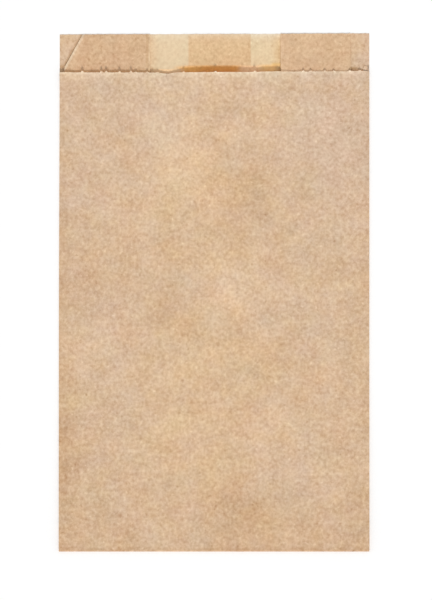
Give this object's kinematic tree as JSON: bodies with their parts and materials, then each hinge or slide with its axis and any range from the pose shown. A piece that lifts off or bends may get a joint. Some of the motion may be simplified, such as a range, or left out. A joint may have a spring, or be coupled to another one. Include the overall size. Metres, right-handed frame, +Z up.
{
  "type": "croissant bag",
  "caption": "Flat brown kraft paper bakery bag with side gussets, a lapped back seam, a glued bottom fold and a toothed mouth whose back stands up as a lip.",
  "frame": {"origin": "centre of the bag's outline, on the surface that it lies on", "axes": "+Y from the bottom fold to the mouth, +X to the right seen from the front, +Z up out of the front panel"},
  "size_m": [0.12, 0.2, 0.0023],
  "materials": {
    "kraft_paper": "matt unbleached kraft, uncoated, with visible fibres"
  },
  "bodies": {
    "root": {"paper_bag": "kraft_paper"}
  },
  "joints": []
}
